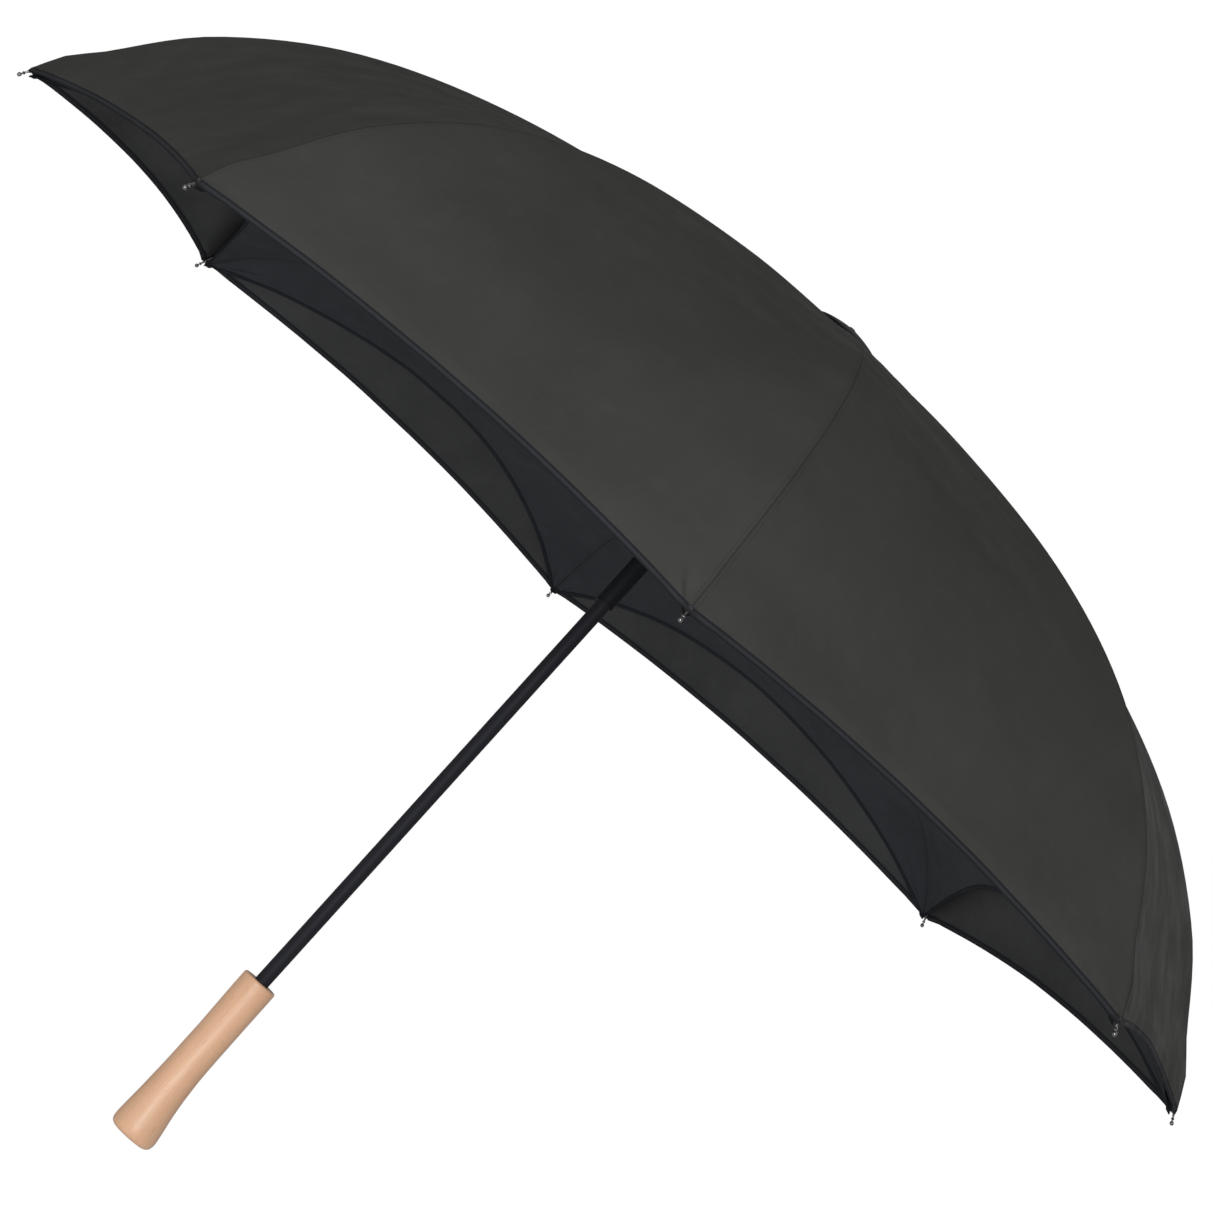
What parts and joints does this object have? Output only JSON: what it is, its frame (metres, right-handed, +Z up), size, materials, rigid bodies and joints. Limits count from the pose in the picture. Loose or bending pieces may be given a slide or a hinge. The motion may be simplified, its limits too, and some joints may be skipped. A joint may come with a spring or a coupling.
{
  "type": "stick umbrella",
  "caption": "Open inverted stick umbrella with two charcoal canopy layers, scalloped hems, metal rib tips, a slim black shaft and a straight flared wooden handle.",
  "frame": {"origin": "centre of the shaft's axis at the handle's lower end", "axes": "+Z up the shaft from the handle to the crown; +X along rib 1, away from the flared side of the handle"},
  "size_m": [1.1244, 1.1244, 0.7805],
  "materials": {
    "handle_wood": "satin lacquered beech",
    "shaft_black": "semi-gloss black enamel",
    "black_plastic": "fine satin black",
    "zinc_steel": "zinc plated",
    "black_fibreglass": "pultruded rod",
    "nickel": "bright nickel",
    "outer_fabric": "plain-woven pongee, water repellent",
    "lining_fabric": "plain-woven pongee"
  },
  "bodies": {
    "root": {"shaft": "shaft_black", "handle": "handle_wood", "runner_stop": "zinc_steel", "top_notch": "black_plastic", "top_cap": "black_plastic"},
    "runner": {"runner_sleeve": "black_plastic", "lining_collar": "black_plastic", "runner_hub": "black_plastic"},
    "top_catch": {"top_catch": "zinc_steel"},
    "low_catch": {"low_catch": "zinc_steel"},
    "rib_1": {"rib_1": "zinc_steel"},
    "stretcher_1": {"stretcher_1": "zinc_steel"},
    "rod_1": {"rib_rod_1": "black_fibreglass", "outer_canopy_1": "outer_fabric"},
    "tip_1": {"tip_1": "nickel"},
    "lining_1": {"lining_canopy_1": "lining_fabric"},
    "rib_2": {"rib_2": "zinc_steel"},
    "stretcher_2": {"stretcher_2": "zinc_steel"},
    "rod_2": {"rib_rod_2": "black_fibreglass", "outer_canopy_2": "outer_fabric"},
    "tip_2": {"tip_2": "nickel"},
    "lining_2": {"lining_canopy_2": "lining_fabric"},
    "rib_3": {"rib_3": "zinc_steel"},
    "stretcher_3": {"stretcher_3": "zinc_steel"},
    "rod_3": {"rib_rod_3": "black_fibreglass", "outer_canopy_3": "outer_fabric"},
    "tip_3": {"tip_3": "nickel"},
    "lining_3": {"lining_canopy_3": "lining_fabric"},
    "rib_4": {"rib_4": "zinc_steel"},
    "stretcher_4": {"stretcher_4": "zinc_steel"},
    "rod_4": {"rib_rod_4": "black_fibreglass", "outer_canopy_4": "outer_fabric"},
    "tip_4": {"tip_4": "nickel"},
    "lining_4": {"lining_canopy_4": "lining_fabric"},
    "rib_5": {"rib_5": "zinc_steel"},
    "stretcher_5": {"stretcher_5": "zinc_steel"},
    "rod_5": {"rib_rod_5": "black_fibreglass", "outer_canopy_5": "outer_fabric"},
    "tip_5": {"tip_5": "nickel"},
    "lining_5": {"lining_canopy_5": "lining_fabric"},
    "rib_6": {"rib_6": "zinc_steel"},
    "stretcher_6": {"stretcher_6": "zinc_steel"},
    "rod_6": {"rib_rod_6": "black_fibreglass", "outer_canopy_6": "outer_fabric"},
    "tip_6": {"tip_6": "nickel"},
    "lining_6": {"lining_canopy_6": "lining_fabric"},
    "rib_7": {"rib_7": "zinc_steel"},
    "stretcher_7": {"stretcher_7": "zinc_steel"},
    "rod_7": {"rib_rod_7": "black_fibreglass", "outer_canopy_7": "outer_fabric"},
    "tip_7": {"tip_7": "nickel"},
    "lining_7": {"lining_canopy_7": "lining_fabric"},
    "rib_8": {"rib_8": "zinc_steel"},
    "stretcher_8": {"stretcher_8": "zinc_steel"},
    "rod_8": {"rib_rod_8": "black_fibreglass", "outer_canopy_8": "outer_fabric"},
    "tip_8": {"tip_8": "nickel"},
    "lining_8": {"lining_canopy_8": "lining_fabric"}
  },
  "joints": [
    {"name": "runner_slide", "type": "slide", "parent": "root", "child": "runner", "axis": [0, 0, -1], "range_m": [0, 0.351]},
    {"name": "rib_1_hinge", "type": "hinge", "parent": "runner", "child": "rib_1", "pos_m": [0.0155, 0, 0.593], "axis": [0, -1, 0], "range_deg": [0, 59.7]},
    {"name": "stretcher_1_hinge", "type": "hinge", "parent": "root", "child": "stretcher_1", "pos_m": [0.013, 0, 0.755], "axis": [0, 1, 0], "range_deg": [0, 80.5]},
    {"name": "rod_1_flex", "type": "hinge", "parent": "rib_1", "child": "rod_1", "pos_m": [0.253, 0, 0.72417], "axis": [0, -1, 0], "range_deg": [0, 50.5], "deforming": ["rib_rod_1", "outer_canopy_1"]},
    {"name": "tip_1_flex", "type": "hinge", "parent": "rod_1", "child": "tip_1", "pos_m": [0.42733, 0, 0.64842], "axis": [0, -1, 0], "range_deg": [0, 27.9]},
    {"name": "lining_1_fold", "type": "hinge", "parent": "runner", "child": "lining_1", "pos_m": [0.02143, 0, 0.57144], "axis": [0, -1, 0], "range_deg": [0, 88.3], "deforming": ["lining_canopy_1"]},
    {"name": "rib_2_hinge", "type": "hinge", "parent": "runner", "child": "rib_2", "pos_m": [0.01096, 0.01096, 0.593], "axis": [0.7071, -0.7071, 0], "range_deg": [0, 59.7]},
    {"name": "stretcher_2_hinge", "type": "hinge", "parent": "root", "child": "stretcher_2", "pos_m": [0.00919, 0.00919, 0.755], "axis": [-0.7071, 0.7071, 0], "range_deg": [0, 80.5]},
    {"name": "rod_2_flex", "type": "hinge", "parent": "rib_2", "child": "rod_2", "pos_m": [0.1789, 0.1789, 0.72417], "axis": [0.7071, -0.7071, 0], "range_deg": [0, 50.5], "deforming": ["rib_rod_2", "outer_canopy_2"]},
    {"name": "tip_2_flex", "type": "hinge", "parent": "rod_2", "child": "tip_2", "pos_m": [0.30217, 0.30217, 0.64842], "axis": [0.7071, -0.7071, 0], "range_deg": [0, 27.9]},
    {"name": "lining_2_fold", "type": "hinge", "parent": "runner", "child": "lining_2", "pos_m": [0.01515, 0.01515, 0.57144], "axis": [0.7071, -0.7071, 0], "range_deg": [0, 88.3], "deforming": ["lining_canopy_2"]},
    {"name": "rib_3_hinge", "type": "hinge", "parent": "runner", "child": "rib_3", "pos_m": [0, 0.0155, 0.593], "axis": [1, 0, 0], "range_deg": [0, 59.7]},
    {"name": "stretcher_3_hinge", "type": "hinge", "parent": "root", "child": "stretcher_3", "pos_m": [0, 0.013, 0.755], "axis": [-1, 0, 0], "range_deg": [0, 80.5]},
    {"name": "rod_3_flex", "type": "hinge", "parent": "rib_3", "child": "rod_3", "pos_m": [0, 0.253, 0.72417], "axis": [1, 0, 0], "range_deg": [0, 50.5], "deforming": ["rib_rod_3", "outer_canopy_3"]},
    {"name": "tip_3_flex", "type": "hinge", "parent": "rod_3", "child": "tip_3", "pos_m": [0, 0.42733, 0.64842], "axis": [1, 0, 0], "range_deg": [0, 27.9]},
    {"name": "lining_3_fold", "type": "hinge", "parent": "runner", "child": "lining_3", "pos_m": [0, 0.02143, 0.57144], "axis": [1, 0, 0], "range_deg": [0, 88.3], "deforming": ["lining_canopy_3"]},
    {"name": "rib_4_hinge", "type": "hinge", "parent": "runner", "child": "rib_4", "pos_m": [-0.01096, 0.01096, 0.593], "axis": [0.7071, 0.7071, 0], "range_deg": [0, 59.7]},
    {"name": "stretcher_4_hinge", "type": "hinge", "parent": "root", "child": "stretcher_4", "pos_m": [-0.00919, 0.00919, 0.755], "axis": [-0.7071, -0.7071, 0], "range_deg": [0, 80.5]},
    {"name": "rod_4_flex", "type": "hinge", "parent": "rib_4", "child": "rod_4", "pos_m": [-0.1789, 0.1789, 0.72417], "axis": [0.7071, 0.7071, 0], "range_deg": [0, 50.5], "deforming": ["rib_rod_4", "outer_canopy_4"]},
    {"name": "tip_4_flex", "type": "hinge", "parent": "rod_4", "child": "tip_4", "pos_m": [-0.30217, 0.30217, 0.64842], "axis": [0.7071, 0.7071, 0], "range_deg": [0, 27.9]},
    {"name": "lining_4_fold", "type": "hinge", "parent": "runner", "child": "lining_4", "pos_m": [-0.01515, 0.01515, 0.57144], "axis": [0.7071, 0.7071, 0], "range_deg": [0, 88.3], "deforming": ["lining_canopy_4"]},
    {"name": "rib_5_hinge", "type": "hinge", "parent": "runner", "child": "rib_5", "pos_m": [-0.0155, 0, 0.593], "axis": [0, 1, 0], "range_deg": [0, 59.7]},
    {"name": "stretcher_5_hinge", "type": "hinge", "parent": "root", "child": "stretcher_5", "pos_m": [-0.013, 0, 0.755], "axis": [0, -1, 0], "range_deg": [0, 80.5]},
    {"name": "rod_5_flex", "type": "hinge", "parent": "rib_5", "child": "rod_5", "pos_m": [-0.253, 0, 0.72417], "axis": [0, 1, 0], "range_deg": [0, 50.5], "deforming": ["rib_rod_5", "outer_canopy_5"]},
    {"name": "tip_5_flex", "type": "hinge", "parent": "rod_5", "child": "tip_5", "pos_m": [-0.42733, 0, 0.64842], "axis": [0, 1, 0], "range_deg": [0, 27.9]},
    {"name": "lining_5_fold", "type": "hinge", "parent": "runner", "child": "lining_5", "pos_m": [-0.02143, 0, 0.57144], "axis": [0, 1, 0], "range_deg": [0, 88.3], "deforming": ["lining_canopy_5"]},
    {"name": "rib_6_hinge", "type": "hinge", "parent": "runner", "child": "rib_6", "pos_m": [-0.01096, -0.01096, 0.593], "axis": [-0.7071, 0.7071, 0], "range_deg": [0, 59.7]},
    {"name": "stretcher_6_hinge", "type": "hinge", "parent": "root", "child": "stretcher_6", "pos_m": [-0.00919, -0.00919, 0.755], "axis": [0.7071, -0.7071, 0], "range_deg": [0, 80.5]},
    {"name": "rod_6_flex", "type": "hinge", "parent": "rib_6", "child": "rod_6", "pos_m": [-0.1789, -0.1789, 0.72417], "axis": [-0.7071, 0.7071, 0], "range_deg": [0, 50.5], "deforming": ["rib_rod_6", "outer_canopy_6"]},
    {"name": "tip_6_flex", "type": "hinge", "parent": "rod_6", "child": "tip_6", "pos_m": [-0.30217, -0.30217, 0.64842], "axis": [-0.7071, 0.7071, 0], "range_deg": [0, 27.9]},
    {"name": "lining_6_fold", "type": "hinge", "parent": "runner", "child": "lining_6", "pos_m": [-0.01515, -0.01515, 0.57144], "axis": [-0.7071, 0.7071, 0], "range_deg": [0, 88.3], "deforming": ["lining_canopy_6"]},
    {"name": "rib_7_hinge", "type": "hinge", "parent": "runner", "child": "rib_7", "pos_m": [0, -0.0155, 0.593], "axis": [-1, 0, 0], "range_deg": [0, 59.7]},
    {"name": "stretcher_7_hinge", "type": "hinge", "parent": "root", "child": "stretcher_7", "pos_m": [0, -0.013, 0.755], "axis": [1, 0, 0], "range_deg": [0, 80.5]},
    {"name": "rod_7_flex", "type": "hinge", "parent": "rib_7", "child": "rod_7", "pos_m": [0, -0.253, 0.72417], "axis": [-1, 0, 0], "range_deg": [0, 50.5], "deforming": ["rib_rod_7", "outer_canopy_7"]},
    {"name": "tip_7_flex", "type": "hinge", "parent": "rod_7", "child": "tip_7", "pos_m": [0, -0.42733, 0.64842], "axis": [-1, 0, 0], "range_deg": [0, 27.9]},
    {"name": "lining_7_fold", "type": "hinge", "parent": "runner", "child": "lining_7", "pos_m": [0, -0.02143, 0.57144], "axis": [-1, 0, 0], "range_deg": [0, 88.3], "deforming": ["lining_canopy_7"]},
    {"name": "rib_8_hinge", "type": "hinge", "parent": "runner", "child": "rib_8", "pos_m": [0.01096, -0.01096, 0.593], "axis": [-0.7071, -0.7071, 0], "range_deg": [0, 59.7]},
    {"name": "stretcher_8_hinge", "type": "hinge", "parent": "root", "child": "stretcher_8", "pos_m": [0.00919, -0.00919, 0.755], "axis": [0.7071, 0.7071, 0], "range_deg": [0, 80.5]},
    {"name": "rod_8_flex", "type": "hinge", "parent": "rib_8", "child": "rod_8", "pos_m": [0.1789, -0.1789, 0.72417], "axis": [-0.7071, -0.7071, 0], "range_deg": [0, 50.5], "deforming": ["rib_rod_8", "outer_canopy_8"]},
    {"name": "tip_8_flex", "type": "hinge", "parent": "rod_8", "child": "tip_8", "pos_m": [0.30217, -0.30217, 0.64842], "axis": [-0.7071, -0.7071, 0], "range_deg": [0, 27.9]},
    {"name": "lining_8_fold", "type": "hinge", "parent": "runner", "child": "lining_8", "pos_m": [0.01515, -0.01515, 0.57144], "axis": [-0.7071, -0.7071, 0], "range_deg": [0, 88.3], "deforming": ["lining_canopy_8"]},
    {"name": "top_catch_press", "type": "hinge", "parent": "root", "child": "top_catch", "pos_m": [0, -0.0045, 0.4815], "axis": [-1, 0, 0], "range_deg": [0, 6.5], "stiffness_Nm_per_rad": 0.05, "deforming": ["top_catch"]},
    {"name": "low_catch_press", "type": "hinge", "parent": "root", "child": "low_catch", "pos_m": [0, -0.0045, 0.1535], "axis": [-1, 0, 0], "range_deg": [0, 6.5], "stiffness_Nm_per_rad": 0.05, "deforming": ["low_catch"]}
  ],
  "couplings": [
    {"joint": "rib_1_hinge", "follows": "runner_slide", "rad_per_m": 2.9626},
    {"joint": "stretcher_1_hinge", "follows": "runner_slide", "rad_per_m": 3.9976},
    {"joint": "rod_1_flex", "follows": "runner_slide", "rad_per_m": 2.5064},
    {"joint": "tip_1_flex", "follows": "runner_slide", "rad_per_m": 1.3845},
    {"joint": "lining_1_fold", "follows": "runner_slide", "rad_per_m": 4.3845},
    {"joint": "rib_2_hinge", "follows": "runner_slide", "rad_per_m": 2.9626},
    {"joint": "stretcher_2_hinge", "follows": "runner_slide", "rad_per_m": 3.9976},
    {"joint": "rod_2_flex", "follows": "runner_slide", "rad_per_m": 2.5064},
    {"joint": "tip_2_flex", "follows": "runner_slide", "rad_per_m": 1.3845},
    {"joint": "lining_2_fold", "follows": "runner_slide", "rad_per_m": 4.3845},
    {"joint": "rib_3_hinge", "follows": "runner_slide", "rad_per_m": 2.9626},
    {"joint": "stretcher_3_hinge", "follows": "runner_slide", "rad_per_m": 3.9976},
    {"joint": "rod_3_flex", "follows": "runner_slide", "rad_per_m": 2.5064},
    {"joint": "tip_3_flex", "follows": "runner_slide", "rad_per_m": 1.3845},
    {"joint": "lining_3_fold", "follows": "runner_slide", "rad_per_m": 4.3845},
    {"joint": "rib_4_hinge", "follows": "runner_slide", "rad_per_m": 2.9626},
    {"joint": "stretcher_4_hinge", "follows": "runner_slide", "rad_per_m": 3.9976},
    {"joint": "rod_4_flex", "follows": "runner_slide", "rad_per_m": 2.5064},
    {"joint": "tip_4_flex", "follows": "runner_slide", "rad_per_m": 1.3845},
    {"joint": "lining_4_fold", "follows": "runner_slide", "rad_per_m": 4.3845},
    {"joint": "rib_5_hinge", "follows": "runner_slide", "rad_per_m": 2.9626},
    {"joint": "stretcher_5_hinge", "follows": "runner_slide", "rad_per_m": 3.9976},
    {"joint": "rod_5_flex", "follows": "runner_slide", "rad_per_m": 2.5064},
    {"joint": "tip_5_flex", "follows": "runner_slide", "rad_per_m": 1.3845},
    {"joint": "lining_5_fold", "follows": "runner_slide", "rad_per_m": 4.3845},
    {"joint": "rib_6_hinge", "follows": "runner_slide", "rad_per_m": 2.9626},
    {"joint": "stretcher_6_hinge", "follows": "runner_slide", "rad_per_m": 3.9976},
    {"joint": "rod_6_flex", "follows": "runner_slide", "rad_per_m": 2.5064},
    {"joint": "tip_6_flex", "follows": "runner_slide", "rad_per_m": 1.3845},
    {"joint": "lining_6_fold", "follows": "runner_slide", "rad_per_m": 4.3845},
    {"joint": "rib_7_hinge", "follows": "runner_slide", "rad_per_m": 2.9626},
    {"joint": "stretcher_7_hinge", "follows": "runner_slide", "rad_per_m": 3.9976},
    {"joint": "rod_7_flex", "follows": "runner_slide", "rad_per_m": 2.5064},
    {"joint": "tip_7_flex", "follows": "runner_slide", "rad_per_m": 1.3845},
    {"joint": "lining_7_fold", "follows": "runner_slide", "rad_per_m": 4.3845},
    {"joint": "rib_8_hinge", "follows": "runner_slide", "rad_per_m": 2.9626},
    {"joint": "stretcher_8_hinge", "follows": "runner_slide", "rad_per_m": 3.9976},
    {"joint": "rod_8_flex", "follows": "runner_slide", "rad_per_m": 2.5064},
    {"joint": "tip_8_flex", "follows": "runner_slide", "rad_per_m": 1.3845},
    {"joint": "lining_8_fold", "follows": "runner_slide", "rad_per_m": 4.3845}
  ]
}
